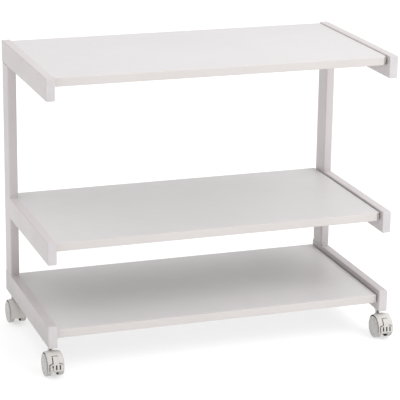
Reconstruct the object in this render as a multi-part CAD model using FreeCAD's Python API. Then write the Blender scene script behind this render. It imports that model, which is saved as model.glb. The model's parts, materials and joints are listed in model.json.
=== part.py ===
import FreeCAD, Part
import math
import os

V = FreeCAD.Vector
os.makedirs("parts", exist_ok=True)

# An open stand with three shelves between two welded side frames, on four twin-wheel casters.
# Millimetres. X runs from left to right, Y from front to back, and Z up from the floor.

# Side frames of rectangular tube.
WIDTH = 800.0
DEPTH = 400.0
TUBE_WIDE = 20.0
TUBE_DEEP = 50.0
TUBE_WALL = 1.5
TUBE_CORNER = 2.5
END_BREAK = 0.5
ARM_FOOT = {"top": 612.0, "middle": 253.0, "lower": 63.0}

# Plastic plugs that close the tube ends.
PLUG_FLANGE = 4.0
PLUG_ROUND = 1.6
PLUG_SPIGOT = 14.0
PLUG_PLAY = 0.15
PLUG_WALL = 2.0

# Shelf boards, their edging strips, and the steel angles and screws that carry them.
SHELF_TOP = {"top": 659.0, "middle": 298.0, "lower": 100.5}
SHELF_THICK = 19.0
SHELF_GAP = 2.5
SHELF_SET_BACK = 11.5
SHELF_DEEP = 388.0
EDGING = 3.0
EDGING_ROUND = 2.0
EDGING_SHORT = {"top": 6.0, "middle": 7.0, "lower": 0.0}
ANGLE_LEG = 33.0
ANGLE_DROP = 17.0
ANGLE_THICK = 3.0
ANGLE_LONG = 50.0
ANGLE_INSETS = (105.0, 290.0)
SCREW_SPREAD = 30.0
SCREW_R = 2.0
SCREW_PLAY = 0.3
SCREW_POINT = 3.0
SCREW_HEAD_R = 4.2
SCREW_HEAD = 2.6
SCREW_REACH = 14.0
SCREW_FROM_ARM = 24.0

# Casters. The wheels lead the stem towards the front at rest.
STEM_INSET = 29.0
TRAIL = 22.0
WHEEL_R = 25.0
WHEEL_IN = 7.5
WHEEL_OUT = 20.0
TREAD_ROUND = 2.0
DISC_THICK = 2.6
DISC_CROWN = 0.3
DISC_RINGS = ((7.7, 0.7, 0.6), (18.3, 1.1, 1.0))
RING_SLOPE = 0.8
HUB_R = 6.0
HUB_SET_BACK = 0.3
RIM_IN_R = 21.6
RIM_DRAFT = 0.5
RIBS = 6
RIB_THICK = 1.6
RIB_SET_BACK = 2.5
AXLE_R = 3.0
AXLE_HALF = 17.4
AXLE_END_PLAY = 0.4
RUN_PLAY = 0.08
WEB_HALF = 7.0
WEB_REACH = 7.5
BOSS_FLOOR = 3.0
LAND_THICK = 3.0
HOOD_HALF = 17.4
HOOD_IN_R = 27.2
HOOD_MID_R = 30.4
HOOD_EDGE_R = 28.4
HOOD_BACK_DEG = 70.0
HOOD_FRONT_DEG = 106.0
STEM_LAND = 46.7
STEM_R = 5.0
PIVOT_R = 4.0
PIVOT_FOOT = 20.0
COLLAR_R = 6.5
COLLAR_FOOT = 58.5
SOCKET_R = 6.5
SOCKET_FLANGE_R = 8.0
SOCKET_FLANGE = 2.0
SOCKET_RISE = 38.0

# Brake pedal, a narrow neck and a wider toe, in a window of that shape at the front of the hood.
# It rests towards the right side of the window. Angles run from straight up towards the front.
NECK_HALF = 5.9
TOE_HALF = 13.6
NECK_PLAY = 1.3
TOE_PLAY = 1.4
PEDAL_REST = 0.9
FLARE_HEAD = 35.6
FLARE_FOOT = 33.4
FLARE_PLAY = 1.7
SHOULDER_ROUND = 2.4
PIN_DEG = 38.0
PIN_AT_R = 28.2
PIN_R = 0.9
PIN_HALF = 11.0
BARREL_R = 1.9
WINDOW_DEG = 32.5
BAR_DEG = 101.0
PEDAL_FROM_DEG = 40.5
PEDAL_TO_DEG = 98.0
PEDAL_IN_R = 27.6
PEDAL_OUT_R = 31.2
LIP_R = 1.8
LIP_AT_R = 30.9
LIP_DEG = 96.0
SLOT_PLACES = (-8.0, 0.0, 8.0)
SLOT_HALF = 1.5
SLOT_FROM_DEG = 74.5
SLOT_TO_DEG = 94.0

# The toe lip is the foremost point, so it sets where the middle of the depth lies.
LIP_REACH = LIP_AT_R * math.sin(math.radians(LIP_DEG)) + LIP_R - (STEM_INSET - TRAIL)
FRONT = -(DEPTH - LIP_REACH) / 2.0
REAR = FRONT + DEPTH
ARM_X = WIDTH / 2.0 - TUBE_WIDE / 2.0
INNER_X = WIDTH / 2.0 - TUBE_WIDE
SHELF_X = INNER_X - SHELF_GAP
LOWER_FOOT = ARM_FOOT["lower"]
SIDES = {"left": -1.0, "right": 1.0}

nodes = {}


def box(x0, y0, z0, x1, y1, z1):
    return Part.makeBox(x1 - x0, y1 - y0, z1 - z0, V(x0, y0, z0))


def edges_along(shape, axis):
    found = []
    for edge in shape.Edges:
        run = edge.Vertexes[-1].Point.sub(edge.Vertexes[0].Point)
        if run.Length > 1e-6 and abs(run[axis]) > 0.999 * run.Length:
            found.append(edge)
    return found


def edges_at(shape, axis, level):
    return [e for e in shape.Edges if all(abs(v.Point[axis] - level) < 1e-6 for v in e.Vertexes)]


def bar(low, high, axis, corner):
    """A straight bar with rounded long edges."""
    block = box(*low, *high)
    return block.makeFillet(corner, edges_along(block, axis))


def tube(low, high, axis):
    """A hollow tube along one axis, with its sharp ends broken."""
    skin = bar(low, high, axis, TUBE_CORNER)
    ends = edges_at(skin, axis, low[axis]) + edges_at(skin, axis, high[axis])
    skin = skin.makeChamfer(END_BREAK, ends)
    bore_low = [v + (-1.0 if i == axis else TUBE_WALL) for i, v in enumerate(low)]
    bore_high = [v - (-1.0 if i == axis else TUBE_WALL) for i, v in enumerate(high)]
    return skin.cut(bar(bore_low, bore_high, axis, TUBE_CORNER - TUBE_WALL))


def turned(points, axis_point, axis):
    """A closed outline of points, turned once round an axis."""
    face = Part.Face(Part.makePolygon([V(*p) for p in points + points[:1]]))
    return face.revolve(V(*axis_point), V(*axis), 360)


def lathe(profile, x, y):
    """A turned piece on a vertical axis, from pairs of radius and height."""
    return turned([(x + r, y, z) for r, z in profile], (x, y, 0), (0, 0, 1))


# Frame tubes: the top and lower arms run the full depth, and the post and middle arm butt against them.
def frame_tubes(side, sign):
    x0 = sign * ARM_X - TUBE_WIDE / 2.0
    x1 = sign * ARM_X + TUBE_WIDE / 2.0
    front = FRONT + PLUG_FLANGE
    rear = REAR - PLUG_FLANGE
    post_front = rear - TUBE_DEEP
    for level, foot in ARM_FOOT.items():
        end = post_front if level == "middle" else rear
        arm = tube((x0, front, foot), (x1, end, foot + TUBE_DEEP), 1)
        if level == "lower":
            for y in (FRONT + STEM_INSET, REAR - STEM_INSET):
                hole = Part.makeCylinder(SOCKET_R, TUBE_WALL * 3.0, V(sign * ARM_X, y, foot - TUBE_WALL))
                arm = arm.cut(hole)
        nodes[f"{side}_{level}_arm"] = arm
    low = ARM_FOOT["lower"] + TUBE_DEEP
    nodes[f"{side}_rear_post"] = tube((x0, post_front, low), (x1, rear, ARM_FOOT["top"]), 2)


# A plug: a rounded flange that covers the tube end, and a hollow spigot inside the tube.
def end_plug():
    half = TUBE_WIDE / 2.0
    flange = bar((-half, 0, 0), (half, PLUG_FLANGE, TUBE_DEEP), 1, TUBE_CORNER)
    flange = flange.makeFillet(PLUG_ROUND, edges_at(flange, 1, 0.0))
    edge = TUBE_WALL + PLUG_PLAY
    deep = PLUG_FLANGE + PLUG_SPIGOT
    spigot = box(edge - half, PLUG_FLANGE - 0.5, edge, half - edge, deep, TUBE_DEEP - edge)
    wall = edge + PLUG_WALL
    core = box(wall - half, PLUG_FLANGE, wall, half - wall, deep + 1.0, TUBE_DEEP - wall)
    return flange.fuse(spigot).removeSplitter().cut(core)


def frame_plugs(side, sign):
    plug = end_plug()
    for level, foot in ARM_FOOT.items():
        nodes[f"{side}_{level}_front_plug"] = plug.translated(V(sign * ARM_X, FRONT, foot))
        if level != "middle":
            back = plug.copy()
            back.rotate(V(0, 0, 0), V(0, 0, 1), 180)
            nodes[f"{side}_{level}_rear_plug"] = back.translated(V(sign * ARM_X, REAR, foot))


# Steel angles: the upright leg is welded to the arm, and the flat leg is drilled for two screws.
def screw_places(level):
    front = FRONT + SHELF_SET_BACK
    for sign in SIDES.values():
        for inset in ANGLE_INSETS:
            for step in (-0.5, 0.5):
                y = front + inset + step * SCREW_SPREAD
                yield sign * (INNER_X - SCREW_FROM_ARM), y, SHELF_TOP[level] - SHELF_THICK


def shelf_angles(sign):
    angles = []
    for level in SHELF_TOP:
        head = SHELF_TOP[level] - SHELF_THICK
        for inset in ANGLE_INSETS:
            y = FRONT + SHELF_SET_BACK + inset - ANGLE_LONG / 2.0
            wall = sign * INNER_X
            outline = [
                (wall, y, head),
                (wall - sign * ANGLE_LEG, y, head),
                (wall - sign * ANGLE_LEG, y, head - ANGLE_THICK),
                (wall - sign * ANGLE_THICK * 2.0, y, head - ANGLE_THICK),
                (wall - sign * ANGLE_THICK, y, head - ANGLE_THICK * 2.0),
                (wall - sign * ANGLE_THICK, y, head - ANGLE_DROP),
                (wall, y, head - ANGLE_DROP),
            ]
            face = Part.Face(Part.makePolygon([V(*p) for p in outline + outline[:1]]))
            angle = face.extrude(V(0, ANGLE_LONG, 0))
            for x, sy, z in screw_places(level):
                if x * sign > 0 and y < sy < y + ANGLE_LONG:
                    below = V(x, sy, z - ANGLE_THICK * 2.0)
                    angle = angle.cut(Part.makeCylinder(SCREW_R + SCREW_PLAY, ANGLE_THICK * 3.0, below))
            angles.append(angle)
    return Part.makeCompound(angles)


# Shelves: a board drilled from below, with rounded strips on the front and the rear edge.
# The front strips of the top and middle shelves stop short of the right end.
def shelf(level):
    head = SHELF_TOP[level]
    foot = head - SHELF_THICK
    front = FRONT + SHELF_SET_BACK
    rear = front + SHELF_DEEP
    board = box(-SHELF_X, front + EDGING, foot, SHELF_X, rear - EDGING, head)
    for x, y, z in screw_places(level):
        board = board.cut(Part.makeCylinder(SCREW_R, SCREW_REACH, V(x, y, z)))
    nodes[f"{level}_shelf"] = board
    end = SHELF_X - EDGING_SHORT[level]
    strips = {
        "front": (box(-SHELF_X, front, foot, end, front + EDGING, head), front),
        "rear": (box(-SHELF_X, rear - EDGING, foot, SHELF_X, rear, head), rear),
    }
    for edge, (strip, outer) in strips.items():
        long_edges = [e for e in edges_along(strip, 0) if abs(e.Vertexes[0].Point[1] - outer) < 1e-6]
        nodes[f"{level}_shelf_{edge}_edging"] = strip.makeFillet(EDGING_ROUND, long_edges)


def shelf_screws():
    screws = []
    for level in SHELF_TOP:
        for x, y, z in screw_places(level):
            seat = z - ANGLE_THICK
            profile = [
                (0, seat - SCREW_HEAD),
                (SCREW_HEAD_R * 0.6, seat - SCREW_HEAD),
                (SCREW_HEAD_R, seat - SCREW_HEAD * 0.45),
                (SCREW_HEAD_R, seat),
                (SCREW_R, seat),
                (SCREW_R, z + SCREW_REACH - SCREW_POINT),
                (0, z + SCREW_REACH),
            ]
            screws.append(lathe(profile, x, y))
    return Part.makeCompound(screws)


# Caster socket, pressed up into the lower arm, and the stem that stands in it.
def socket(x, y):
    foot = LOWER_FOOT - SOCKET_FLANGE
    top = LOWER_FOOT + SOCKET_RISE
    bore = STEM_R + 0.05
    profile = [
        (bore, foot),
        (SOCKET_FLANGE_R - 0.5, foot),
        (SOCKET_FLANGE_R, foot + 0.5),
        (SOCKET_FLANGE_R, LOWER_FOOT),
        (SOCKET_R, LOWER_FOOT),
        (SOCKET_R, top),
        (bore, top),
    ]
    return lathe(profile, x, y)


def stem(x, y):
    head = LOWER_FOOT - SOCKET_FLANGE
    tip = LOWER_FOOT + SOCKET_RISE - 3.0
    profile = [
        (0, PIVOT_FOOT),
        (PIVOT_R - 0.6, PIVOT_FOOT),
        (PIVOT_R, PIVOT_FOOT + 0.6),
        (PIVOT_R, STEM_LAND + 0.3),
        (STEM_R, STEM_LAND + 0.3),
        (STEM_R, COLLAR_FOOT),
        (COLLAR_R - 0.4, COLLAR_FOOT),
        (COLLAR_R, COLLAR_FOOT + 0.4),
        (COLLAR_R, head),
        (STEM_R, head),
        (STEM_R, tip - 1.2),
        (STEM_R - 1.2, tip),
        (0, tip),
    ]
    return lathe(profile, x, y)


# The hood and its fittings are made round the stem at X 0, Y 0, with the axle in front of it.
AXLE = V(0, -TRAIL, WHEEL_R)


def round_axle(radius, degrees):
    """A point at a radius from the axle, at an angle from straight up towards the front."""
    a = math.radians(degrees)
    return V(0, AXLE.y - radius * math.sin(a), AXLE.z + radius * math.cos(a))


def sector(half, inner, outer, start, end):
    """A curved plate round the axle between two angles."""
    corners = [V(-half, 0, inner), V(half, 0, inner), V(half, 0, outer), V(-half, 0, outer)]
    face = Part.Face(Part.makePolygon(corners + corners[:1]))
    face.rotate(V(0, 0, 0), V(1, 0, 0), start)
    plate = face.revolve(V(0, 0, 0), V(1, 0, 0), end - start)
    return plate.translated(AXLE)


def across(radius, half, place):
    """A round bar from side to side."""
    return Part.makeCylinder(radius, half * 2.0, V(-half, place.y, place.z), V(1, 0, 0))


def tee(neck, toe, head, foot):
    """A block through the front of the hood, as wide as the neck above and as the toe below."""
    front = AXLE.y - HOOD_MID_R * 1.5
    rise = AXLE.z + HOOD_MID_R
    half = [(neck, rise), (neck, head), (toe, foot), (toe, 0.0)]
    outline = [V(x, front, z) for x, z in half] + [V(-x, front, z) for x, z in reversed(half)]
    block = Part.Face(Part.makePolygon(outline + outline[:1])).extrude(V(0, HOOD_MID_R * 1.3, 0))
    shoulders = [e for e in edges_along(block, 1) if foot - 0.1 < e.Vertexes[0].Point.z < head + 0.1]
    return block.makeFillet(SHOULDER_ROUND, shoulders)


def hood(braked):
    left = V(-HOOD_HALF, 0, HOOD_EDGE_R)
    right = V(HOOD_HALF, 0, HOOD_EDGE_R)
    crown = Part.Arc(left, V(0, 0, HOOD_MID_R), right).toShape()
    rest = Part.makePolygon([right, V(HOOD_HALF, 0, HOOD_IN_R), V(-HOOD_HALF, 0, HOOD_IN_R), left])
    face = Part.Face(Part.Wire([crown] + rest.Edges))
    face.rotate(V(0, 0, 0), V(1, 0, 0), -HOOD_BACK_DEG)
    shell = face.revolve(V(0, 0, 0), V(1, 0, 0), HOOD_BACK_DEG + HOOD_FRONT_DEG).translated(AXLE)
    web = across(HOOD_IN_R + 0.6, WEB_HALF, AXLE)
    low = AXLE - V(WEB_HALF, WEB_REACH, WEB_REACH)
    high = AXLE + V(WEB_HALF, HOOD_MID_R, HOOD_MID_R)
    web = web.common(box(*low, *high))
    boss = Part.makeCylinder(WEB_HALF, STEM_LAND - PIVOT_FOOT + BOSS_FLOOR, V(0, 0, PIVOT_FOOT - BOSS_FLOOR))
    land = Part.makeCylinder(WEB_HALF, LAND_THICK, V(0, 0, STEM_LAND - LAND_THICK))
    body = shell.fuse([web, boss, land]).removeSplitter()
    body = body.cut(Part.makeCylinder(COLLAR_R, HOOD_MID_R, V(0, 0, STEM_LAND)))
    body = body.cut(Part.makeCylinder(PIVOT_R + RUN_PLAY, HOOD_MID_R, V(0, 0, PIVOT_FOOT - 1.0)))
    body = body.cut(across(AXLE_R, WEB_HALF + 1.0, AXLE))
    if braked:
        wide = TOE_HALF + TOE_PLAY
        window = sector(wide, HOOD_IN_R - 1.6, HOOD_MID_R + 3.0, WINDOW_DEG, BAR_DEG)
        opening = tee(NECK_HALF + NECK_PLAY, wide, FLARE_HEAD + FLARE_PLAY, FLARE_FOOT + FLARE_PLAY)
        body = body.cut(window.common(opening))
        body = body.cut(across(PIN_R, PIN_HALF, round_axle(PIN_AT_R, PIN_DEG)))
    return body


def axle():
    rod = across(AXLE_R, AXLE_HALF, AXLE)
    return rod.makeChamfer(0.5, [e for e in rod.Edges if e.Curve.TypeId == "Part::GeomCircle"])


# A wheel: a closed outer disc with turned rings, a rounded tread, a blind hub and ribs.
def wheel(sign):
    back = WHEEL_OUT - DISC_THICK
    profile = [(AXLE_HALF + AXLE_END_PLAY, 0), (WHEEL_OUT + DISC_CROWN, 0)]
    for radius, half, deep in DISC_RINGS:
        profile += [
            (WHEEL_OUT, radius - half - RING_SLOPE),
            (WHEEL_OUT - deep, radius - half),
            (WHEEL_OUT - deep, radius + half),
            (WHEEL_OUT, radius + half + RING_SLOPE),
        ]
    profile += [
        (WHEEL_OUT, WHEEL_R),
        (WHEEL_IN, WHEEL_R),
        (WHEEL_IN, RIM_IN_R + RIM_DRAFT),
        (back, RIM_IN_R),
        (back, HUB_R),
        (WHEEL_IN + HUB_SET_BACK, HUB_R),
        (WHEEL_IN + HUB_SET_BACK, AXLE_R + RUN_PLAY),
        (AXLE_HALF + AXLE_END_PLAY, AXLE_R + RUN_PLAY),
    ]
    disc = turned([(x, 0, r) for x, r in profile], (0, 0, 0), (1, 0, 0))
    rims = [e for e in disc.Edges if abs(e.BoundBox.ZMax - WHEEL_R) < 1e-3 and e.BoundBox.XLength < 1e-3]
    disc = disc.makeFillet(TREAD_ROUND, rims)
    ribs = []
    for step in range(RIBS):
        low = (WHEEL_IN + RIB_SET_BACK, -RIB_THICK / 2.0, HUB_R - 0.5)
        high = (back + 0.6, RIB_THICK / 2.0, RIM_IN_R + 0.6)
        rib = box(*low, *high)
        rib.rotate(V(0, 0, 0), V(1, 0, 0), 360.0 * step / RIBS)
        ribs.append(rib)
    disc = disc.fuse(ribs).removeSplitter()
    if sign < 0:
        disc = disc.mirror(V(0, 0, 0), V(1, 0, 0))
    return disc.translated(AXLE)


# Brake pedal: a curved plate with a hinge barrel above, and a wider toe with grip slots and a lip below.
def pedal():
    hinge = round_axle(PIN_AT_R, PIN_DEG)
    plate = sector(TOE_HALF, PEDAL_IN_R, PEDAL_OUT_R, PEDAL_FROM_DEG, PEDAL_TO_DEG)
    plate = plate.common(tee(NECK_HALF, TOE_HALF, FLARE_HEAD, FLARE_FOOT))
    barrel = across(BARREL_R, NECK_HALF, hinge)
    neck = sector(NECK_HALF, PEDAL_IN_R, PIN_AT_R + 1.2, PIN_DEG, PEDAL_FROM_DEG + 1.0)
    lip = across(LIP_R, TOE_HALF, round_axle(LIP_AT_R, LIP_DEG))
    lever = plate.fuse([barrel, neck, lip]).removeSplitter()
    lever = lever.cut(across(PIN_R + 0.06, NECK_HALF + 1.0, hinge))
    slot = sector(SLOT_HALF, PEDAL_IN_R - 1.0, PEDAL_OUT_R + 4.0, SLOT_FROM_DEG, SLOT_TO_DEG)
    for x in SLOT_PLACES:
        lever = lever.cut(slot.translated(V(x, 0, 0)))
    return lever


def caster(name, x, y, braked):
    place = V(x, y, 0)
    nodes[f"{name}_stem"] = stem(x, y)
    nodes[f"{name}_hood"] = hood(braked).translated(place)
    nodes[f"{name}_axle"] = axle().translated(place)
    for side, sign in SIDES.items():
        nodes[f"{name}_{side}_wheel"] = wheel(sign).translated(place)
    if braked:
        nodes[f"{name}_brake_pedal"] = pedal().translated(place + V(PEDAL_REST, 0, 0))
        nodes[f"{name}_brake_pin"] = across(PIN_R, PIN_HALF, round_axle(PIN_AT_R, PIN_DEG)).translated(place)


for side, sign in SIDES.items():
    frame_tubes(side, sign)
    frame_plugs(side, sign)
    nodes[f"{side}_shelf_angles"] = shelf_angles(sign)

for level in SHELF_TOP:
    shelf(level)
nodes["shelf_screws"] = shelf_screws()

sockets = []
for end, y in {"front": FRONT + STEM_INSET, "rear": REAR - STEM_INSET}.items():
    for side, sign in SIDES.items():
        sockets.append(socket(sign * ARM_X, y))
        caster(f"{end}_{side}_caster", sign * ARM_X, y, end == "front")
nodes["caster_sockets"] = Part.makeCompound(sockets)

for name, shape in nodes.items():
    shape.exportStep(f"parts/{name}.step")

print(len(nodes), "nodes; front plane at Y", round(FRONT, 4), "rear at Y", round(REAR, 4))
hinge = round_axle(PIN_AT_R, PIN_DEG)
print("axle from stem", AXLE, "pedal pin from stem", hinge)
for name, shape in nodes.items():
    state = "valid" if shape.isValid() else "NOT VALID"
    print(name, len(shape.Solids), state, round(shape.Volume, 1), shape.BoundBox)
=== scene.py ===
# %% [markdown]
# # A mobile shelf stand on casters
# The stand is two welded C-frames of rectangular tube, three boards between them and four twin-wheel
# casters. Its solids already exist at full size, so this lesson loads them as a fixed frame and never
# moves them. What is left to do in Blender is what makes a solid look like a thing: paint, board,
# moulded plastic, plated steel, the weld beads and the screw heads, and then a floor, some light and a
# camera.

# %% Load the frame
import json
import math
import random

import bmesh
import bpy
from mathutils import Matrix, Quaternion, Vector


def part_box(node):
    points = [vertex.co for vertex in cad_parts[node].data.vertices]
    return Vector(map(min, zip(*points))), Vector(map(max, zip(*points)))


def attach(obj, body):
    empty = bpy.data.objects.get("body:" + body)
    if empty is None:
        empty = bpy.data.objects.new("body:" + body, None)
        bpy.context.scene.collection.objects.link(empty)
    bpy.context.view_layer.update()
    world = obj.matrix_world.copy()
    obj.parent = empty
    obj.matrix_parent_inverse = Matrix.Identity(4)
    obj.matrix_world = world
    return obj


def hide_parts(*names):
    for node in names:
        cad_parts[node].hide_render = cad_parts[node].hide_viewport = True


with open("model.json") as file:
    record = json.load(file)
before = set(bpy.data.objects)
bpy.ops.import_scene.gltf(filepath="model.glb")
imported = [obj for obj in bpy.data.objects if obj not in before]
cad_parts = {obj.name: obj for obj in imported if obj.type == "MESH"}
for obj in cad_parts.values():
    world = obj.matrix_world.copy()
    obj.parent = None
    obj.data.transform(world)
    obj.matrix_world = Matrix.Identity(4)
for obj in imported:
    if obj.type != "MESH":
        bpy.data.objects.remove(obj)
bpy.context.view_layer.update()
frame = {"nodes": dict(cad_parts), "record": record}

nodes = frame["nodes"]

# %% [markdown]
# ## A small kit for shaders
# Every finish below is a Principled shader with a few texture nodes in front of it. Clicking nodes
# together in the editor works, but thirty `nodes.new` lines per finish hide the idea. The helpers in the
# next cells each make one node, wire it and hand back the socket that matters, so a finish reads as a
# sentence. The first three start a material, feed one socket and add any node.

# %% One node at a time
def finish(name, roughness, metallic=0.0):
    """A new material and its Principled shader."""
    mat = bpy.data.materials.new(name)
    mat.use_nodes = True
    shader = mat.node_tree.nodes["Principled BSDF"]
    shader.inputs["Roughness"].default_value = roughness
    shader.inputs["Metallic"].default_value = metallic
    return mat, shader


def feed(mat, socket, value):
    """Joins another node's socket to an input, or sets a plain value on it."""
    if isinstance(value, bpy.types.NodeSocket):
        mat.node_tree.links.new(value, socket)
    else:
        socket.default_value = value


def add(mat, kind, wires=None, **settings):
    """One node: settings are its own fields, and wires maps its inputs to sockets or values."""
    made = mat.node_tree.nodes.new("ShaderNode" + kind)
    for field, value in settings.items():
        setattr(made, field, value)
    for socket, value in (wires or {}).items():
        feed(mat, made.inputs[socket], value)
    return made


print("node helpers:", finish.__name__, feed.__name__, add.__name__)

# %% [markdown]
# ## Patterns
# Real surfaces are never one number. A cloudy noise, stretched to a useful range, stands behind nearly
# every variation here. Positions are in metres, so a noise scale of 1000 gives grains of about a
# millimetre, and the same scale means the same size on every piece.

# %% Noise, ranges and colours
def place(mat, stretch=(1, 1, 1)):
    """Where a point lies on the piece in metres, stretched along its axes."""
    spot = add(mat, "TexCoord").outputs["Object"]
    return add(mat, "Mapping", {"Vector": spot, "Scale": stretch}).outputs["Vector"]


def grain(mat, where, scale, detail=3.0):
    """Cloudy noise from 0 to 1."""
    return add(mat, "TexNoise", {"Vector": where, "Scale": scale, "Detail": detail}).outputs["Fac"]


def between(mat, value, low, high, start=0.3, end=0.7):
    """Stretches a value from start..end to low..high."""
    wires = {"Value": value, "From Min": start, "From Max": end, "To Min": low, "To Max": high}
    return add(mat, "MapRange", wires).outputs["Result"]


def tint(mat, value, dark, light, start=0.3, end=0.7):
    """A colour that runs from dark to light as the value rises."""
    ramp = add(mat, "ValToRGB", {"Fac": value})
    for stop, at, colour in zip(ramp.color_ramp.elements, (start, end), (dark, light)):
        stop.position = at
        stop.color = (*colour, 1.0)
    return ramp.outputs["Color"]


print("pattern helpers:", place.__name__, grain.__name__, between.__name__, tint.__name__)

# %% [markdown]
# ## Layers
# Dirt lies on plastic, and paint wears off an edge: a finish is a stack. One helper paints a colour over
# another through a mask, one raises the surface in the light, one does sums with masks, and the last
# joins the finished channels to the shader.

# %% Masks, bumps and the last wires
def over(mat, mask, below, above):
    """Paints one colour over another where the mask is 1."""
    mix = add(mat, "Mix", {"Factor": mask}, data_type="RGBA")
    for name, value in (("A", below), ("B", above)):
        socket = next(i for i in mix.inputs if i.name == name and i.type == "RGBA")
        feed(mat, socket, value if isinstance(value, bpy.types.NodeSocket) else (*value, 1.0))
    return next(o for o in mix.outputs if o.type == "RGBA")


def relief(mat, height, metres, below=None):
    """Raises the surface in the light by a height map."""
    wires = {"Height": height, "Distance": metres, "Strength": 1.0}
    if below is not None:
        wires["Normal"] = below
    return add(mat, "Bump", wires).outputs["Normal"]


def sums(mat, operation, *values):
    """A math node over sockets and numbers."""
    return add(mat, "Math", dict(enumerate(values)), operation=operation).outputs["Value"]


def wire(mat, shader, colour=None, roughness=None, normal=None):
    """Joins the finished channels to the shader."""
    for socket, value in (("Base Color", colour), ("Roughness", roughness), ("Normal", normal)):
        if value is not None:
            mat.node_tree.links.new(value, shader.inputs[socket])


print("layer helpers:", over.__name__, relief.__name__, sums.__name__, wire.__name__)

# %% [markdown]
# ## Worn and highlighted edges
# Paint and plastic rub thin where two faces meet, and a rounded edge catches a thin highlight. Both are
# painted here as a paler colour on the edges: the wear is real, the highlight is a painted highlight. A
# hand-painted mask would do, but it has to be repainted whenever a solid changes. The Bevel node finds
# edges by itself: it asks what the surface would point at if the edge were round. Where that differs from
# the real normal there is an edge, and a little noise breaks the line up.

# %% Edge mask
def worn_and_lit_edge(mat, where, width, share):
    """Up to the share on edges, for rubbed paint and a painted highlight, and 0 on open faces."""
    soft = add(mat, "Bevel", {"Radius": width}, samples=4).outputs["Normal"]
    true = add(mat, "NewGeometry").outputs["Normal"]
    facing = add(mat, "VectorMath", {0: soft, 1: true}, operation="DOT_PRODUCT").outputs["Value"]
    edge = between(mat, facing, low=1.0, high=0.0, start=0.86, end=0.995)
    broken = between(mat, grain(mat, where, scale=160.0), low=0.0, high=1.0, start=0.35, end=0.65)
    return sums(mat, "MULTIPLY", sums(mat, "MULTIPLY", edge, broken), share)


print("edge helper:", worn_and_lit_edge.__name__)

# %% [markdown]
# ## Dust and painted shade low down
# What stands on the floor gathers its dust, most on the lowest pieces, and gets less light there too. A
# grey noise all over would only look dirty, so the darkening is laid on by height and fades out above: on
# the plastic parts it is dust, on the frame tubes it is painted shade. The cell also opens the list of
# finishes, each filed under the slot that the record gives it.

# %% Dust and low painted shade, and a list of finishes
LOW_PATCH_GRAIN = 60.0
finishes = {}


def keep(slot, mat):
    """Files a finish under its slot, and says what it took."""
    finishes[slot] = mat
    print(slot + ":", mat.name, "from", len(mat.node_tree.nodes), "shader nodes")


def dust_and_low_shade(mat, where, most, reach):
    """How much a point is darkened: most at the floor and none above the reach; dust on plastic, painted
    shade on the frame.
    """
    height = add(mat, "SeparateXYZ", {"Vector": where}).outputs["Z"]
    settled = between(mat, height, low=most, high=0.0, start=0.0, end=reach)
    patchy = between(mat, grain(mat, where, LOW_PATCH_GRAIN, detail=4.0), low=0.8, high=1.0)
    return sums(mat, "MULTIPLY", settled, patchy)


print("dust in patches of about", round(1000.0 / LOW_PATCH_GRAIN), "mm")

# %% [markdown]
# ## Powder coat on the tubes
# The frame is steel under a warm light grey powder coat. Baked powder flows into a very shallow orange
# peel a millimetre or two across, which shows only as a slight shimmer in the gloss, so it is a bump and
# not geometry. Its colour drifts a little along a tube, and handling leaves slightly shinier patches. The
# edges are painted paler, partly as rubbed paint and partly as a painted highlight. The lowest tubes are
# painted darker towards the floor in patches, as painted shade.

# %% Powder coat
COAT_DARK = (0.566, 0.527, 0.527)
COAT_LIGHT = (0.599, 0.558, 0.557)
COAT_FLECK = (0.46, 0.43, 0.42)
COAT_LOW_SHADE = (0.36, 0.34, 0.33)
COAT_RUBBED_AND_LIT = (0.78, 0.75, 0.74)


def powder_coat():
    mat, shader = finish("powder_coat", roughness=0.42)
    where = place(mat)
    drift = tint(mat, grain(mat, where, scale=5.0), COAT_DARK, COAT_LIGHT)
    specks = grain(mat, where, scale=1900.0, detail=1.0)
    fleck = between(mat, specks, low=0.0, high=0.10, start=0.62, end=0.78)
    body = over(mat, fleck, drift, COAT_FLECK)
    # Painted shade: the lowest tubes are darkened towards the floor in patches, standing in for the light
    # they lack there.
    body = over(mat, dust_and_low_shade(mat, where, most=0.9, reach=0.2), body, COAT_LOW_SHADE)
    # Paler edges: partly rubbed paint, partly a painted highlight.
    colour = over(mat, worn_and_lit_edge(mat, where, width=0.0012, share=0.35), body, COAT_RUBBED_AND_LIT)
    handled = between(mat, grain(mat, where, scale=11.0, detail=5.0), low=0.36, high=0.48)
    peel = grain(mat, where, scale=620.0, detail=2.0)
    wire(mat, shader, colour, handled, relief(mat, peel, metres=0.00012))
    return mat


keep("frame_paint", powder_coat())

# %% [markdown]
# ## Faced board
# The shelves are chipboard with a thin pale facing above and below, pressed with a fine pearl texture.
# The facing and the raw core are one solid, so the shader asks which way a face points: up or down is
# facing, the narrow sides are core. A second object for the facing would double the meshes for a layer
# 0.2 mm thick.

# %% Faced board
FACING_DARK = (0.606, 0.586, 0.590)
FACING_LIGHT = (0.634, 0.614, 0.618)
FACING_PORE = (0.54, 0.52, 0.52)
CHIP_DARK = (0.30, 0.275, 0.255)
CHIP_LIGHT = (0.60, 0.565, 0.535)
CORE_ROUGH = 0.8


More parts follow.
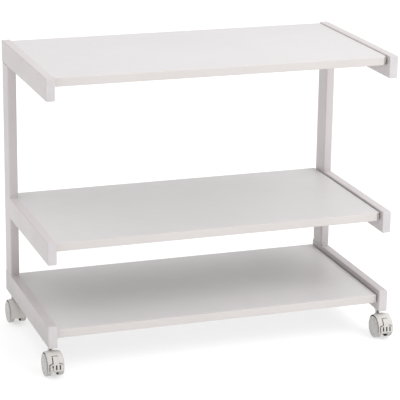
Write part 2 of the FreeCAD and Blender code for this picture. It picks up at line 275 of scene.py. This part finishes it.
def faced_board():
    mat, shader = finish("faced_board", roughness=0.4)
    where = place(mat)
    cloud = tint(mat, grain(mat, where, scale=3.5), FACING_DARK, FACING_LIGHT)
    specks = grain(mat, where, scale=1500.0, detail=1.0)
    pores = between(mat, specks, low=0.0, high=0.16, start=0.60, end=0.75)
    facing = over(mat, pores, cloud, FACING_PORE)
    chips = add(mat, "TexVoronoi", {"Vector": place(mat, stretch=(1, 2.2, 2.2)), "Scale": 420.0})
    core = tint(mat, chips.outputs["Color"], CHIP_DARK, CHIP_LIGHT, start=0.15, end=0.85)
    upright = add(mat, "SeparateXYZ", {"Vector": add(mat, "TexCoord").outputs["Normal"]}).outputs["Z"]
    side = sums(mat, "LESS_THAN", sums(mat, "ABSOLUTE", upright), 0.5)
    scuff = grain(mat, place(mat, stretch=(3, 26, 3)), scale=7.0, detail=6.0)
    smooth = between(mat, scuff, low=0.33, high=0.45)
    rough = sums(mat, "MAXIMUM", smooth, sums(mat, "MULTIPLY", side, CORE_ROUGH))
    pearl = relief(mat, grain(mat, where, scale=1100.0, detail=2.0), metres=0.00006)
    crumbs = sums(mat, "MULTIPLY", chips.outputs["Distance"], side)
    wire(mat, shader, over(mat, side, facing, core), rough, relief(mat, crumbs, metres=0.0006, below=pearl))
    return mat


keep("shelf_board", faced_board())

# %% [markdown]
# ## Edging strip
# The front and rear edges of the boards carry an extruded plastic strip with rounded corners. Extrusion
# leaves very fine lines along the length. Modelling them would take thousands of faces, so the noise is
# stretched a hundredfold along X and becomes bump.

# %% Edging strip
STRIP_DARK = (0.589, 0.557, 0.540)
STRIP_LIGHT = (0.617, 0.585, 0.568)
STRIP_KNOCK = (0.54, 0.51, 0.49)


def edging_strip():
    mat, shader = finish("edging_strip", roughness=0.36)
    where = place(mat)
    tone = tint(mat, grain(mat, where, scale=6.0), STRIP_DARK, STRIP_LIGHT)
    dents = grain(mat, place(mat, stretch=(1, 1, 6)), scale=90.0, detail=4.0)
    knocks = between(mat, dents, low=0.0, high=0.35, start=0.66, end=0.80)
    lines = grain(mat, place(mat, stretch=(0.01, 1, 1)), scale=1800.0, detail=2.0)
    rough = between(mat, grain(mat, where, scale=40.0), low=0.32, high=0.44)
    wire(mat, shader, over(mat, knocks, tone, STRIP_KNOCK), rough, relief(mat, lines, metres=0.00005))
    return mat


keep("edging_plastic", edging_strip())

# %% [markdown]
# ## Hollow sides of hoods and pedals
# The hollow side of a caster's hood lies in deep shade, and so do the slots of a pedal, so those faces
# are painted near-black as painted shade. Splitting the mesh to give those faces a second material would
# change a solid, so the shader finds them by measure. A face on the hollow side of a hood is nearer to the
# axle than the hood's wall. A face in a slot is nearer than the pedal's skin, in the middle of its width
# and at the height of the slots.

# %% Hollow sides of hoods and pedals
HOLLOW_SHADE = (0.035, 0.034, 0.032)
HOOD_WALL = 0.0274
PEDAL_SKIN = 0.0309
SLOTS_HALF = 0.010
SLOTS_FOOT = 0.0228
SLOTS_HEAD = 0.0336


def near_axle(mat, piece, skin):
    """1 on faces of a caster's piece that are nearer to its axle than the skin, and the place in its box."""
    low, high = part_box("front_left_caster_" + piece)
    axle_low, axle_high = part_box("front_left_caster_axle")
    axle = (axle_low + axle_high) / 2.0 - low
    size = tuple(high - low)
    spot = add(mat, "TexCoord").outputs["Generated"]
    metres = add(mat, "VectorMath", {0: spot, 1: size}, operation="MULTIPLY").outputs["Vector"]
    flat = add(mat, "VectorMath", {0: metres, 1: (0.0, 1.0, 1.0)}, operation="MULTIPLY").outputs["Vector"]
    middle = (0.0, axle.y, axle.z)
    reach = add(mat, "VectorMath", {0: flat, 1: middle}, operation="DISTANCE").outputs["Value"]
    return sums(mat, "LESS_THAN", reach, skin), metres


def hood_hollow(mat):
    return near_axle(mat, "hood", HOOD_WALL)[0]


def pedal_slots(mat):
    inside, metres = near_axle(mat, "brake_pedal", PEDAL_SKIN)
    low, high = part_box("front_left_caster_brake_pedal")
    across, _, height = add(mat, "SeparateXYZ", {"Vector": metres}).outputs
    aside = sums(mat, "ABSOLUTE", sums(mat, "SUBTRACT", across, (high.x - low.x) / 2.0))
    middle = sums(mat, "LESS_THAN", aside, SLOTS_HALF)
    above = sums(mat, "GREATER_THAN", height, SLOTS_FOOT - low.z)
    below = sums(mat, "LESS_THAN", height, SLOTS_HEAD - low.z)
    return sums(mat, "MULTIPLY", sums(mat, "MULTIPLY", inside, middle), sums(mat, "MULTIPLY", above, below))


print("hollow sides end", HOOD_WALL * 1000, "and", PEDAL_SKIN * 1000, "mm from the axle")

# %% [markdown]
# ## Moulded plastics
# Plugs, hoods, pedals and sockets are injection moulded. Such parts share a recipe: an even colour that
# is slightly cloudy, a fine spark-eroded grain from the mould, and dust that settles low down near the
# floor. One function with the colours as arguments keeps them related, which is what makes a set of
# plastic parts look like one delivery.

# %% Moulded plastic
MOULD_DUST = (0.36, 0.34, 0.32)
DUST_REACH = 0.045
MOULD_GRAIN = 1400.0
RUBBED_AND_LIT_GAIN = 1.25
ROUGH_DRIFT = 0.06


def moulded(name, dark, light, roughness, dust=0.0, hollow=None):
    mat, shader = finish(name, roughness)
    where = place(mat)
    colour = tint(mat, grain(mat, where, scale=28.0, detail=2.0), dark, light)
    if dust:
        colour = over(mat, dust_and_low_shade(mat, where, dust, DUST_REACH), colour, MOULD_DUST)
    # Paler edges: partly rubbed plastic, partly a painted highlight.
    rubbed_and_lit = tuple(min(1.0, c * RUBBED_AND_LIT_GAIN) for c in light)
    colour = over(mat, worn_and_lit_edge(mat, where, width=0.0008, share=0.3), colour, rubbed_and_lit)
    # Painted shade: the hollow side of a hood and the slots of a pedal are painted near-black.
    if hollow:
        colour = over(mat, hollow(mat), colour, HOLLOW_SHADE)
    rough = between(mat, grain(mat, where, scale=75.0), roughness - ROUGH_DRIFT, roughness + ROUGH_DRIFT)
    wire(mat, shader, colour, rough, relief(mat, grain(mat, where, MOULD_GRAIN, detail=2.0), metres=0.00005))
    return mat


print("moulded parts: grain of about", round(1000.0 / MOULD_GRAIN, 1), "mm")

# %% Plugs, hoods, pedals and sockets
PLUG_DARK, PLUG_LIGHT = (0.553, 0.524, 0.533), (0.590, 0.560, 0.569)
CASTER_DARK, CASTER_LIGHT = (0.560, 0.537, 0.513), (0.596, 0.573, 0.549)
SOCKET_DARK, SOCKET_LIGHT = (0.150, 0.148, 0.146), (0.190, 0.188, 0.185)

hood = moulded("hood_plastic", CASTER_DARK, CASTER_LIGHT, roughness=0.48, dust=0.25, hollow=hood_hollow)
pedal = moulded("pedal_plastic", CASTER_DARK, CASTER_LIGHT, roughness=0.5, dust=0.2, hollow=pedal_slots)
keep("plug_plastic", moulded("plug_plastic", PLUG_DARK, PLUG_LIGHT, roughness=0.46))
keep("hood_plastic", hood)
keep("pedal_plastic", pedal)
keep("socket_plastic", moulded("socket_plastic", SOCKET_DARK, SOCKET_LIGHT, roughness=0.55))

# %% [markdown]
# ## Wheels
# A twin wheel is a grey tyre and disc. Its open inner side and the hollow inside it are painted
# near-black, and the tread picks up scuffs from the floor. A material per face would mean cutting up the
# solid. All of it is a matter of where on the wheel a point lies, so one shader asks twice: how far from
# the axle, and how deep from the inner side. The Generated coordinates run from 0 to 1 over the wheel's
# own box, so they give both on every wheel, wherever it stands and however it has turned.

# %% Where on the wheel
TREAD = (0.470, 0.492)
INNER_BLACK_REACH = 0.449
INNER_BLACK_DEPTH = 0.800
INNER_FACE_DEPTH = 0.050


def on_wheel(mat, hand):
    """How far a point lies from the axle, 0.5 at the tread, and how deep from the inner side, 0 to 1."""
    spot = add(mat, "TexCoord").outputs["Generated"]
    flat = add(mat, "VectorMath", {0: spot, 1: (0.0, 1.0, 1.0)}, operation="MULTIPLY").outputs["Vector"]
    reach = add(mat, "VectorMath", {0: flat, 1: (0.0, 0.5, 0.5)}, operation="DISTANCE").outputs["Value"]
    across = add(mat, "SeparateXYZ", {"Vector": spot}).outputs["X"]
    return reach, across if hand == "right" else sums(mat, "SUBTRACT", 1.0, across)


print("tread from", TREAD[0], "of the wheel's height, core up to", INNER_BLACK_DEPTH, "of its width")

# %% Wheel plastic
WHEEL_DARK = (0.479, 0.465, 0.456)
WHEEL_LIGHT = (0.521, 0.507, 0.497)
WHEEL_SCUFF = (0.30, 0.29, 0.28)
INNER_BLACK_DARK = (0.010, 0.010, 0.010)
INNER_BLACK_LIGHT = (0.026, 0.025, 0.024)


def wheel_plastic(hand):
    mat, shader = finish("wheel_plastic_" + hand, roughness=0.45)
    where = place(mat)
    reach, depth = on_wheel(mat, hand)
    tone = tint(mat, grain(mat, where, scale=30.0), WHEEL_DARK, WHEEL_LIGHT)
    tread = between(mat, reach, 0.0, 1.0, *TREAD)
    marks = between(mat, grain(mat, where, scale=260.0, detail=5.0), low=0.10, high=0.60)
    scuffs = sums(mat, "MULTIPLY", tread, marks)
    worn = over(mat, scuffs, tone, WHEEL_SCUFF)
    # The open inner side and the hollow are painted near-black.
    within = sums(mat, "LESS_THAN", reach, INNER_BLACK_REACH)
    hollow = sums(mat, "MULTIPLY", within, sums(mat, "LESS_THAN", depth, INNER_BLACK_DEPTH))
    core = sums(mat, "MAXIMUM", hollow, sums(mat, "LESS_THAN", depth, INNER_FACE_DEPTH))
    black = tint(mat, grain(mat, where, scale=90.0), INNER_BLACK_DARK, INNER_BLACK_LIGHT)
    colour = over(mat, core, worn, black)
    rough = between(mat, scuffs, low=0.38, high=0.62, start=0.0, end=1.0)
    fine = grain(mat, where, scale=1500.0, detail=2.0)
    wire(mat, shader, colour, rough, relief(mat, fine, metres=0.00004))
    return mat


wheel_finishes = {hand: wheel_plastic(hand) for hand in ("left", "right")}
print("wheels:", [mat.name for mat in wheel_finishes.values()])

# %% [markdown]
# ## Plated steel
# Stems, axles, pins and screws are zinc plated. Plating is slightly yellow and cloudy, never mirror
# bright, and turned parts keep rings from the lathe. Grooves that fine are no work for a mesh, so they
# are a bump that changes only with height.

# %% Plated steel
ZINC_DARK = (0.50, 0.50, 0.49)
ZINC_LIGHT = (0.66, 0.655, 0.63)


def plated_steel():
    mat, shader = finish("plated_steel", roughness=0.3, metallic=1.0)
    where = place(mat)
    colour = tint(mat, grain(mat, where, scale=130.0, detail=4.0), ZINC_DARK, ZINC_LIGHT)
    rings = grain(mat, place(mat, stretch=(0.02, 0.02, 1)), scale=2600.0, detail=2.0)
    rough = between(mat, grain(mat, where, scale=220.0, detail=4.0), low=0.24, high=0.42)
    wire(mat, shader, colour, rough, relief(mat, rings, metres=0.00004))
    return mat


keep("plated_steel", plated_steel())

# %% [markdown]
# ## Dressing the solids
# A solid keeps its mesh and place, and only its material slot changes. The record already says which
# finish each piece has, so the slots are filled from that list: a piece added to the stand later is
# dressed without a new line.

# %% Assign the finishes
slot_of = {row["node"]: row["material_slot"] for row in frame["record"]["subparts"]}
for name, piece in nodes.items():
    slot = slot_of[name]
    piece.data.materials.clear()
    if slot == "wheel_plastic":
        piece.data.materials.append(wheel_finishes["left" if "left_wheel" in name else "right"])
    else:
        piece.data.materials.append(finishes[slot])
print("dressed", len(nodes), "solids in", len(finishes) + len(wheel_finishes), "finishes")

# %% [markdown]
# ## From points to pieces
# The pieces that the solids lack are built point by point in a bmesh. Four helpers serve all of them:
# one reads the places of loose islands out of a solid's mesh, so that nothing is typed in twice, one
# joins two loops of points by a ring of faces, one turns an outline round an axis, and one makes the
# finished object, smooth except at real corners.

# %% Places in a solid
SAME_POINT = 1e-6


def loose_boxes(mesh):
    """The lowest and highest corner of each separate island of a mesh."""
    bm = bmesh.new()
    bm.from_mesh(mesh)
    bmesh.ops.remove_doubles(bm, verts=bm.verts, dist=SAME_POINT)
    left, boxes = set(bm.verts), []
    while left:
        island = {left.pop()}
        edge = list(island)
        while edge:
            touching = {e.other_vert(v) for v in edge for e in v.link_edges} - island
            island |= touching
            edge = list(touching)
        left -= island
        spots = [v.co for v in island]
        boxes.append(tuple(Vector([pick(s[i] for s in spots) for i in range(3)]) for pick in (min, max)))
    bm.free()
    return sorted(boxes, key=lambda b: tuple(round(c, 4) for c in b[0]))


pins = loose_boxes(nodes["shelf_screws"].data)
print("found", len(pins), "screw places in the solid")

# %% Loops, lathe and finished object
def ring(bm, below, above):
    """A ring of faces between two closed loops of points."""
    for i in range(len(below)):
        bm.faces.new((below[i], below[i - 1], above[i - 1], above[i]))


def lathe(bm, outline, steps):
    """Turns pairs of radius and height once round Z; the outline starts and ends on the axis."""
    start, *middle, end = outline
    turns = [math.tau * i / steps for i in range(steps)]
    loops = [[bm.verts.new((r * math.cos(a), r * math.sin(a), z)) for a in turns] for r, z in middle]
    for below, above in zip(loops, loops[1:]):
        ring(bm, below, above)
    for loop, (_, z) in ((loops[0], start), (loops[-1], end)):
        tip = bm.verts.new((0.0, 0.0, z))
        for i in range(steps):
            bm.faces.new((loop[i], loop[i - 1], tip))


def piece_from(bm, name, crease=35.0):
    """A finished object from a bmesh, smooth except at real corners."""
    bmesh.ops.recalc_face_normals(bm, faces=bm.faces)
    mesh = bpy.data.meshes.new(name)
    bm.to_mesh(mesh)
    bm.free()
    mesh.polygons.foreach_set("use_smooth", [True] * len(mesh.polygons))
    mesh.set_sharp_from_angle(angle=math.radians(crease))
    made = bpy.data.objects.new(name, mesh)
    bpy.context.scene.collection.objects.link(made)
    return made


print("mesh helpers:", ring.__name__, lathe.__name__, piece_from.__name__)

# %% [markdown]
# ## Screws under the shelves
# Each board is held from below by short wood screws with a cross recess. Their solids are plain turned
# pins, so the lesson makes one proper screw and sets a copy on each pin. A lathe outline gives the head,
# the recess is cut with a Boolean modifier, because a cross is easier to subtract than to weave into a
# round head, and the thread is a three-cornered bar wound round the shank.

# %% Recess
RECESS_MOUTH = 0.0024
RECESS_END = 0.0009
RECESS_START = -0.0006
RECESS_DEEP = 0.0017
BLADE = 0.26


def cross_outline(half):
    """The twelve corners of a cross as pairs of X and Y."""
    thick = half * BLADE
    arm, corners = [(half, -thick), (half, thick), (thick, thick)], []
    for _ in range(4):
        corners += arm
        arm = [(-y, x) for x, y in arm]
    return corners


def cross_recess():
    """A cross that narrows upwards, as a driver bit leaves it."""
    bm = bmesh.new()
    sections = ((RECESS_MOUTH, RECESS_START), (RECESS_END, RECESS_DEEP))
    low, high = ([bm.verts.new((x, y, z)) for x, y in cross_outline(half)] for half, z in sections)
    bm.faces.new(low)
    bm.faces.new(high)
    ring(bm, low, high)
    return piece_from(bm, "cross_recess")


recess = cross_recess()
print("recess cutter:", len(recess.data.polygons), "faces")

# %% Thread
SHANK_R = 0.00145
CREST_R = 0.00196
PITCH = 0.0017
TOOTH_SUNK = 0.9
TOOTH_HALF = 0.3
THREAD_STEPS = 12


def wound_thread(bm, low, high):
    """A three-cornered bar wound up the shank, which runs out at both ends."""
    count = int((high - low) / PITCH * THREAD_STEPS)
    last = None
    for i in range(count + 1):
        a, z = math.tau * i / THREAD_STEPS, low + PITCH * i / THREAD_STEPS
        fade = min(1.0, i / THREAD_STEPS, (count - i) / THREAD_STEPS)
        root, crest, half = SHANK_R * TOOTH_SUNK, SHANK_R + (CREST_R - SHANK_R) * fade, PITCH * TOOTH_HALF
        tooth = ((root, -half), (crest, 0.0), (root, half))
        loop = [bm.verts.new((r * math.cos(a), r * math.sin(a), z + up)) for r, up in tooth]
        if last:
            ring(bm, last, loop)
        if i in (0, count):
            bm.faces.new(loop)
        last = loop


print("thread:", PITCH * 1000, "mm pitch on a shank of", SHANK_R * 2000, "mm")

# %% One screw
HEAD_OUTLINE = (
    (0.0, 0.0), (0.35, 0.00003), (0.68, 0.00022), (0.9, 0.0007),
    (1.0, 0.0014), (1.0, 0.0024), (0.97, 0.0026), (0.0, 0.0026),
)
HEAD_STEPS = 40
SHANK_FOOT = 0.0024
SHANK_STEPS = 16
POINT_LONG = 0.003
THREAD_FOOT = 0.0040
THREAD_SHORT = 0.0034


def wood_screw(head_r, tall):
    """A screw that stands on its head at Z 0 and points up."""
    bm = bmesh.new()
    lathe(bm, [(head_r * share, z) for share, z in HEAD_OUTLINE], HEAD_STEPS)
    head = piece_from(bm, "screw_head")
    cut = head.modifiers.new("recess", "BOOLEAN")
    cut.object = recess
    mesh = bpy.data.meshes.new_from_object(head.evaluated_get(bpy.context.evaluated_depsgraph_get()))
    bpy.data.objects.remove(head)
    bm = bmesh.new()
    bm.from_mesh(mesh)
    shank = [(0.0, SHANK_FOOT), (SHANK_R, SHANK_FOOT), (SHANK_R, tall - POINT_LONG), (0.0, tall)]
    lathe(bm, shank, SHANK_STEPS)
    wound_thread(bm, THREAD_FOOT, tall - THREAD_SHORT)
    bm.to_mesh(mesh)
    bm.free()
    return mesh


low, high = pins[0]
one_screw = wood_screw((high.x - low.x) / 2.0, high.z - low.z)
bpy.data.objects.remove(recess)
print("one screw:", len(one_screw.polygons), "faces")

# %% A screw on every pin
SEED = 7

turn = random.Random(SEED)
bm = bmesh.new()
for low, high in pins:
    first = len(bm.verts)
    bm.from_mesh(one_screw)
    bm.verts.ensure_lookup_table()
    spot = Matrix.Translation(((low.x + high.x) / 2.0, (low.y + high.y) / 2.0, low.z))
    spin = Matrix.Rotation(turn.uniform(0.0, math.tau), 4, "Z")
    bmesh.ops.transform(bm, matrix=spot @ spin, verts=bm.verts[first:])
screws = piece_from(bm, "cross_head_screws")
screws.data.materials.append(finishes["plated_steel"])
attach(screws, "frame")
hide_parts("shelf_screws")
print("screws:", len(pins), "on", len(screws.data.polygons), "faces")

# %% [markdown]
# ## End bands on the top board
# The ends of the top board can be seen from above, so a thin band is ironed on to them, which nearly
# closes the gap to the arms. It stops a little short of the front, as the edging does. The lower boards
# keep their plain sawn ends. A scaled box would have knife-sharp edges, so a band is one outline with
# rounded long edges, drawn near the front of the board and again at the rear, and joined by a ring of
# faces.

# %% End bands
BAND_THICK = 0.0020
BAND_ROUND = 0.0006
BAND_STEPS = 4
BAND_SHORT = 0.010


def band_outline(foot, head):
    """Pairs of distance from the board and height, with both outer corners rounded."""
    turns = [math.pi / 2.0 * i / BAND_STEPS for i in range(BAND_STEPS + 1)]
    flat = BAND_THICK - BAND_ROUND
    upper = [(flat + BAND_ROUND * math.cos(a), head - BAND_ROUND + BAND_ROUND * math.sin(a)) for a in turns]
    lower = [(out, foot + head - z) for out, z in reversed(upper)]
    return [(0.0, foot)] + lower + upper + [(0.0, head)]


def end_bands(board):
    low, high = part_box(board)
    bm = bmesh.new()
    outline = band_outline(low.z, high.z)
    ends = (low.y + BAND_SHORT, high.y)
    for x, outward in ((low.x, -1.0), (high.x, 1.0)):
        front, rear = ([bm.verts.new((x + outward * out, y, z)) for out, z in outline] for y in ends)
        bm.faces.new(front)
        bm.faces.new(rear)
        ring(bm, front, rear)
    bands = piece_from(bm, board + "_end_bands")
    bands.data.materials.append(finishes["edging_plastic"])
    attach(bands, "frame")
    print(bands.name + ":", len(bands.data.polygons), "faces")


end_bands("top_shelf")

# %% [markdown]
# ## Weld beads
# The tubes and the small steel angles are welded before painting, so each inside corner carries a bead
# with the overlapping scales that a torch leaves. A fillet from a bevel would be too clean. Here a bead
# is a loop of points across the corner, repeated about every quarter of a millimetre along it, and each
# loop is a little larger or smaller with the scale it lies on. The flush outer joints were ground flat
# and need none.

# %% One bead
BEAD_STEP = 0.00028
FEWEST_STEPS = 8
BEAD_POINTS = 7
BEAD_ROOT = 0.0004
BEAD_CROWN = 0.14
BEAD_END = 0.12
BEAD_TAPER = 4.0
SCALE_LONG = 0.0017
SCALE_BOW = 0.35
SCALE_DIP = 0.16


def weld_bead(bm, corner, run, face_a, face_b, leg):
    """A bead in the corner between two faces; face_a and face_b point along them, away from the corner."""
    count = max(FEWEST_STEPS, int(run.length / BEAD_STEP))
    last = None
    for i in range(count + 1):
        along = i / count
        fade = min(1.0, BEAD_TAPER * min(along, 1.0 - along) * run.length / leg) ** 0.5
        loop = [bm.verts.new(corner + run * along - (face_a + face_b) * BEAD_ROOT)]
        for k in range(BEAD_POINTS):
            s = k / (BEAD_POINTS - 1)
            arch = 4.0 * s * (1.0 - s)
            phase = (along * run.length / SCALE_LONG + SCALE_BOW * arch) % 1.0
            size = leg * (BEAD_END + (1.0 - BEAD_END) * fade) * (1.0 - SCALE_DIP * phase * phase)
            out = face_a * (1.0 - s) + face_b * s + (face_a + face_b) * (BEAD_CROWN * arch)
            loop.append(bm.verts.new(corner + run * along + out * size))
        if last:
            ring(bm, last, loop)
        if i in (0, count):
            bm.faces.new(loop)
        last = loop


print("a bead has", BEAD_POINTS, "points across and a loop every", BEAD_STEP * 1000, "mm")

# %% Beads on both side frames
FRONTWARD = Vector((0, -1, 0))
BACKWARD = Vector((0, 1, 0))
UPWARD = Vector((0, 0, 1))
DOWNWARD = Vector((0, 0, -1))
TUBE_CORNER = 0.0025
TUBE_LEG = 0.0042
ANGLE_LEG = 0.0028
ANGLE_FOOT = 0.002
ANGLE_SHORT = 0.006
BEAD_CREASE = 60.0


def welds(side):
    bm = bmesh.new()
    inward = Vector((1.0 if side == "left" else -1.0, 0.0, 0.0))
    post_low, post_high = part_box(side + "_rear_post")
    arm_low, arm_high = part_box(side + "_middle_arm")
    wide = Vector((post_high.x - post_low.x - 2.0 * TUBE_CORNER, 0.0, 0.0))
    x, y = post_low.x + TUBE_CORNER, post_low.y
    for z in (post_low.z, arm_high.z):
        weld_bead(bm, Vector((x, y, z)), wide, FRONTWARD, UPWARD, TUBE_LEG)
    for z in (post_high.z, arm_low.z):
        weld_bead(bm, Vector((x, y, z)), wide, FRONTWARD, DOWNWARD, TUBE_LEG)
    wall = arm_high.x if side == "left" else arm_low.x
    for low, high in loose_boxes(nodes[side + "_shelf_angles"].data):
        rise = Vector((0.0, 0.0, high.z - low.z - ANGLE_SHORT))
        for y_end, away in ((low.y, FRONTWARD), (high.y, BACKWARD)):
            weld_bead(bm, Vector((wall, y_end, low.z + ANGLE_FOOT)), rise, inward, away, ANGLE_LEG)
    beads = piece_from(bm, side + "_weld_beads", BEAD_CREASE)
    beads.data.materials.append(finishes["frame_paint"])
    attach(beads, "frame")
    print(beads.name + ":", len(beads.data.polygons), "faces")


for side in ("left", "right"):
    welds(side)

# %% [markdown]
# ## Floor
# The stand was photographed on white without any hard shadow. Product studios do that on a table of pale
# plastic that is lit a little from below, so the floor here is a large pale sheet with a faint glow of
# its own: the stand still darkens it where it comes close, but only softly.

# %% Floor
FLOOR_SIZE = 80.0
FLOOR_GLOW = 0.60
FLOOR_DARK = (0.42, 0.42, 0.42)
FLOOR_LIGHT = (0.44, 0.44, 0.44)
WHITE = (1.0, 1.0, 1.0, 1.0)


def glowing(name, roughness, strength):
    """A finish that gives off white light of its own."""
    mat, shader = finish(name, roughness)
    shader.inputs["Emission Color"].default_value = WHITE
    shader.inputs["Emission Strength"].default_value = strength
    return mat, shader


def studio_floor():
    mesh = bpy.data.meshes.new("studio_floor")
    half = FLOOR_SIZE / 2.0
    corners = [(-half, -half, 0), (half, -half, 0), (half, half, 0), (-half, half, 0)]
    mesh.from_pydata(corners, [], [(0, 1, 2, 3)])
    floor = bpy.data.objects.new("studio_floor", mesh)
    bpy.context.scene.collection.objects.link(floor)
    mat, shader = glowing("pale_floor", roughness=0.7, strength=FLOOR_GLOW)
    wire(mat, shader, tint(mat, grain(mat, place(mat), scale=2.0), FLOOR_DARK, FLOOR_LIGHT))
    mesh.materials.append(mat)
    return floor


print("floor:", studio_floor().name, "of", FLOOR_SIZE, "m")

# %% [markdown]
# ## Backdrop
# From low down the floor ends in a horizon. A larger floor would only push it further away, so a white
# dome stands round the floor instead. Only the camera sees the dome: it would otherwise shut out the
# light of the sky.

# %% Backdrop
DOME_STEPS = 32
UNSEEN_BY = (
    "visible_diffuse",
    "visible_glossy",
    "visible_transmission",
    "visible_volume_scatter",
    "visible_shadow",
)


def white_dome():
    bm = bmesh.new()
    radius = FLOOR_SIZE / 2.0
    turns = [math.pi * i / DOME_STEPS for i in range(DOME_STEPS + 1)]
    lathe(bm, [(radius * math.sin(a), -radius * math.cos(a)) for a in turns], 2 * DOME_STEPS)
    dome = piece_from(bm, "studio_dome")
    mat, _ = glowing("white_backdrop", roughness=1.0, strength=1.0)
    dome.data.materials.append(mat)
    for ray in UNSEEN_BY:
        setattr(dome, ray, False)
    return dome


print("backdrop:", white_dome().name)

# %% [markdown]
# ## Light
# The light comes evenly from above, with a little more from the front right, so the tops are palest and
# the left sides a shade darker. A pale world that is dimmer on the left, an overhead sun as wide as half
# the sky and one broad area light give that. A wide sun costs no more than a narrow one and leaves no
# edge on any shadow. The area light is kept out of reflections: from behind the stand it would be
# mirrored along the boards as a white glare.

# %% Pale world
GLOW_LEFT = 0.64
GLOW_RIGHT = 0.92

world = bpy.data.worlds.new("studio")
bpy.context.scene.world = world
world.use_nodes = True
sky = world.node_tree.nodes["Background"]
sky.inputs["Color"].default_value = WHITE
rightward = add(world, "SeparateXYZ", {"Vector": add(world, "TexCoord").outputs["Generated"]}).outputs["X"]
glow = between(world, rightward, GLOW_LEFT, GLOW_RIGHT, start=-1.0, end=1.0)
feed(world, sky.inputs["Strength"], glow)
print("world: from", GLOW_LEFT, "on the left to", GLOW_RIGHT, "on the right")

# %% Lamps
SUN_AT, SUN_AIM = (0.0, 0.0, 4.0), (0.0, 0.0, 0.0)
SUN_POWER = 1.10
SUN_WIDE = 100.0
KEY_AT, KEY_AIM = (1.4, -1.7, 2.0), (0.0, 0.0, 0.35)
KEY_WATTS = 26.0
KEY_WIDE = 1.6


def lamp(name, kind, spot, aim, energy):
    light = bpy.data.lights.new(name, kind)
    light.energy = energy
    made = bpy.data.objects.new(name, light)
    made.location = spot
    made.rotation_euler = (Vector(aim) - Vector(spot)).to_track_quat("-Z", "Y").to_euler()
    bpy.context.scene.collection.objects.link(made)
    return made


overhead = lamp("overhead", "SUN", SUN_AT, SUN_AIM, SUN_POWER)
overhead.data.angle = math.radians(SUN_WIDE)
key = lamp("key", "AREA", KEY_AT, KEY_AIM, KEY_WATTS)
key.data.shape = "DISK"
key.data.size = KEY_WIDE
key.visible_glossy = False
bpy.context.scene.view_settings.view_transform = "Standard"

# %% [markdown]
# ## The camera
# The photograph was taken from above and left of the front, with a long lens from about four metres. Eye
# point, turn and tip were found by matching the corners of the frame. In the photograph the uprights run
# parallel, as with a lens that slides down while the film stays upright. Here the camera is simply
# tipped, without lens shift, so that it can be moved round the stand and keep it in the middle of the
# picture; the uprights lean by a degree or two.

# %% Camera
FILM_WIDE = 36.0
LENS = 162.0
NEAREST = 0.1
FARTHEST = 200.0
EYE = Vector((-1.2961, -3.7105, 1.5141))
TURN = math.radians(19.35)
TIP = math.radians(17.03)
ROLL = math.radians(0.79)

camera = bpy.data.objects.new("camera", bpy.data.cameras.new("camera"))
camera.data.sensor_width = FILM_WIDE
camera.data.lens = LENS
camera.data.clip_start = NEAREST
camera.data.clip_end = FARTHEST
camera.location = EYE
camera.rotation_mode = "QUATERNION"
level = Quaternion((1, 0, 0), math.pi / 2.0 - TIP) @ Quaternion((0, 0, 1), ROLL)
camera.rotation_quaternion = Quaternion((0, 0, 1), -TURN) @ level
bpy.context.scene.collection.objects.link(camera)
bpy.context.scene.camera = camera
print("camera: lens", LENS, "mm at", tuple(EYE))
